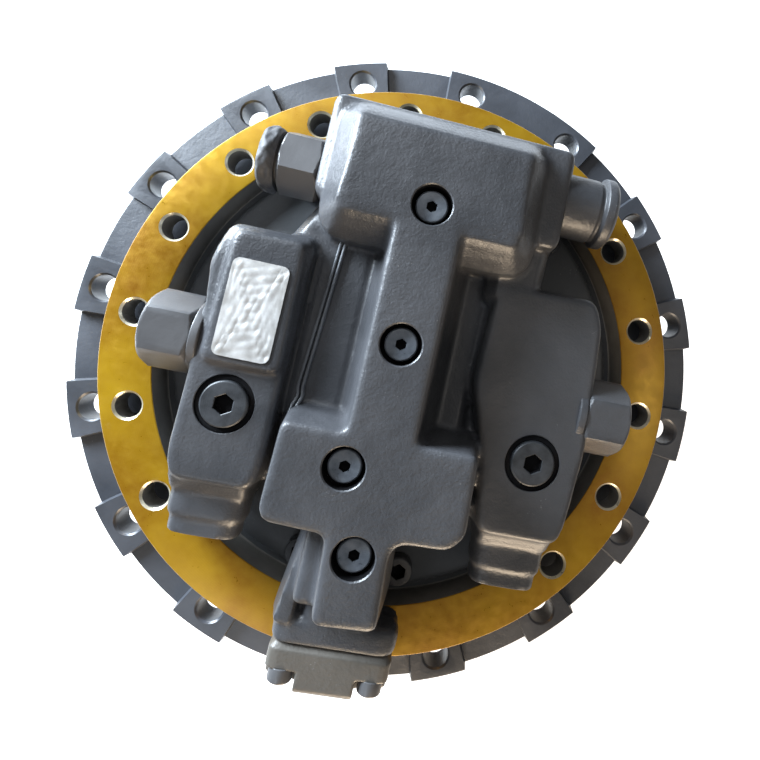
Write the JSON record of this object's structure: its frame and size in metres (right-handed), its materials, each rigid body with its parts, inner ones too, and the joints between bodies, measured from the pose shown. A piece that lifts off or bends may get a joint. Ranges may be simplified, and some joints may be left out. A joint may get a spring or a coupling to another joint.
{
  "type": "excavator final drive",
  "caption": "Travel drive for an excavator track: hydraulic motor with valve head on a fixed spindle, planetary gears and a rotating drum with a sprocket flange.",
  "frame": {"origin": "centre of the end cover's flat outer face, on the drive's axis", "axes": "+Z along the drive's axis from the end cover to the motor and valve head, +Y to the counterbalance valve block, +X to the right seen from the motor side with +Y up"},
  "size_m": [0.4974, 0.4974, 0.357],
  "materials": {
    "cast_paint": "semi-gloss dark grey paint over cast iron",
    "flange_face": "machined face under yellow rust preventive",
    "gear_steel": "ground, hardened steel",
    "bronze": "machined bronze",
    "friction_lining": "sintered friction lining",
    "plug_steel": "oily grey machined steel",
    "foil": "crumpled blank foil plate",
    "steel": "machined steel"
  },
  "bodies": {
    "spindle": {"spindle": "flange_face", "valve_head": "cast_paint", "swash_plate": "steel", "valve_plate": "bronze", "lower_bearing_inner_ring": "steel", "upper_bearing_inner_ring": "steel", "bearing_nut": "steel", "seal_ring_upper": "steel", "shaft_bearing": "steel", "brake_plate_1": "steel", "brake_spring": "steel", "gauge_plug_left": "plug_steel", "gauge_plug_right": "plug_steel", "passage_plug_1": "plug_steel", "passage_plug_2": "plug_steel", "passage_plug_3": "plug_steel", "passage_plug_4": "plug_steel", "relief_valve_left": "plug_steel", "relief_valve_right": "plug_steel", "counterbalance_cap": "plug_steel", "shuttle_valve_cap": "plug_steel", "counterbalance_spring": "plug_steel", "two_speed_spring": "plug_steel", "foot_cover": "cast_paint", "foot_cover_screw_1": "steel", "foot_cover_screw_2": "steel", "foot_cover_screw_3": "steel", "foot_cover_screw_4": "steel", "nameplate": "foil"},
    "drum": {"hub": "cast_paint", "end_cover": "cast_paint", "ring_gear": "gear_steel", "lower_bearing_outer_ring": "steel", "upper_bearing_outer_ring": "steel", "seal_ring_lower": "steel", "thrust_pad": "bronze"},
    "lower_roller_set": {"lower_bearing_rollers": "steel"},
    "upper_roller_set": {"upper_bearing_rollers": "steel"},
    "first_carrier": {"carrier_1": "steel", "sun_gear_2": "gear_steel"},
    "motor_rotor": {"motor_shaft": "steel", "sun_gear_1": "gear_steel", "cylinder_block": "bronze", "pistons": "steel", "brake_disc_1": "friction_lining"},
    "brake_ram": {"brake_piston": "steel"},
    "counterbalance_slide": {"counterbalance_spool": "steel"},
    "two_speed_slide": {"two_speed_spool": "steel"},
    "first_planet_a": {"planet_1a": "gear_steel"},
    "first_planet_b": {"planet_1b": "gear_steel"},
    "first_planet_c": {"planet_1c": "gear_steel"},
    "second_planet_a": {"planet_2a": "gear_steel"},
    "second_planet_b": {"planet_2b": "gear_steel"},
    "second_planet_c": {"planet_2c": "gear_steel"},
    "second_planet_d": {"planet_2d": "gear_steel"}
  },
  "joints": [
    {"name": "hub_spin", "type": "hinge", "parent": "spindle", "child": "drum", "pos_m": [0, 0, 0], "axis": [0, 0, 1], "continuous": true},
    {"name": "lower_rollers_spin", "type": "hinge", "parent": "spindle", "child": "lower_roller_set", "pos_m": [0, 0, 0], "axis": [0, 0, 1], "continuous": true},
    {"name": "upper_rollers_spin", "type": "hinge", "parent": "spindle", "child": "upper_roller_set", "pos_m": [0, 0, 0], "axis": [0, 0, 1], "continuous": true},
    {"name": "first_carrier_spin", "type": "hinge", "parent": "spindle", "child": "first_carrier", "pos_m": [0, 0, 0], "axis": [0, 0, 1], "continuous": true},
    {"name": "motor_spin", "type": "hinge", "parent": "spindle", "child": "motor_rotor", "pos_m": [0, 0, 0], "axis": [0, 0, 1], "continuous": true},
    {"name": "first_planet_a_spin", "type": "hinge", "parent": "first_carrier", "child": "first_planet_a", "pos_m": [0, 0.09, 0.059], "axis": [0, 0, 1], "continuous": true},
    {"name": "first_planet_b_spin", "type": "hinge", "parent": "first_carrier", "child": "first_planet_b", "pos_m": [-0.07794, -0.045, 0.059], "axis": [0, 0, 1], "continuous": true},
    {"name": "first_planet_c_spin", "type": "hinge", "parent": "first_carrier", "child": "first_planet_c", "pos_m": [0.07794, -0.045, 0.059], "axis": [0, 0, 1], "continuous": true},
    {"name": "second_planet_a_spin", "type": "hinge", "parent": "spindle", "child": "second_planet_a", "pos_m": [0, 0.096, 0.114], "axis": [0, 0, 1], "continuous": true},
    {"name": "second_planet_b_spin", "type": "hinge", "parent": "spindle", "child": "second_planet_b", "pos_m": [-0.096, 0, 0.114], "axis": [0, 0, 1], "continuous": true},
    {"name": "second_planet_c_spin", "type": "hinge", "parent": "spindle", "child": "second_planet_c", "pos_m": [0, -0.096, 0.114], "axis": [0, 0, 1], "continuous": true},
    {"name": "second_planet_d_spin", "type": "hinge", "parent": "spindle", "child": "second_planet_d", "pos_m": [0.096, 0, 0.114], "axis": [0, 0, 1], "continuous": true},
    {"name": "brake_release", "type": "slide", "parent": "spindle", "child": "brake_ram", "axis": [0, 0, 1], "range_m": [0, 0.002], "stiffness_N_per_m": 20000, "springref_m": -0.002, "deforming": ["brake_spring"]},
    {"name": "counterbalance_shift", "type": "slide", "parent": "spindle", "child": "counterbalance_slide", "axis": [1, 0, 0], "range_m": [-0.005, 0.005], "stiffness_N_per_m": 3000, "deforming": ["counterbalance_spring"]},
    {"name": "two_speed_shift", "type": "slide", "parent": "spindle", "child": "two_speed_slide", "axis": [0, 1, 0], "range_m": [-0.004, 0.004], "stiffness_N_per_m": 3000, "deforming": ["two_speed_spring"]}
  ],
  "couplings": [
    {"joint": "first_carrier_spin", "follows": "hub_spin", "ratio": -3.5714},
    {"joint": "motor_spin", "follows": "hub_spin", "ratio": -26.429},
    {"joint": "lower_rollers_spin", "follows": "hub_spin", "ratio": 0.53716},
    {"joint": "upper_rollers_spin", "follows": "hub_spin", "ratio": 0.53716},
    {"joint": "first_planet_a_spin", "follows": "hub_spin", "ratio": 11.429},
    {"joint": "first_planet_b_spin", "follows": "hub_spin", "ratio": 11.429},
    {"joint": "first_planet_c_spin", "follows": "hub_spin", "ratio": 11.429},
    {"joint": "second_planet_a_spin", "follows": "hub_spin", "ratio": 2.7778},
    {"joint": "second_planet_b_spin", "follows": "hub_spin", "ratio": 2.7778},
    {"joint": "second_planet_c_spin", "follows": "hub_spin", "ratio": 2.7778},
    {"joint": "second_planet_d_spin", "follows": "hub_spin", "ratio": 2.7778}
  ]
}
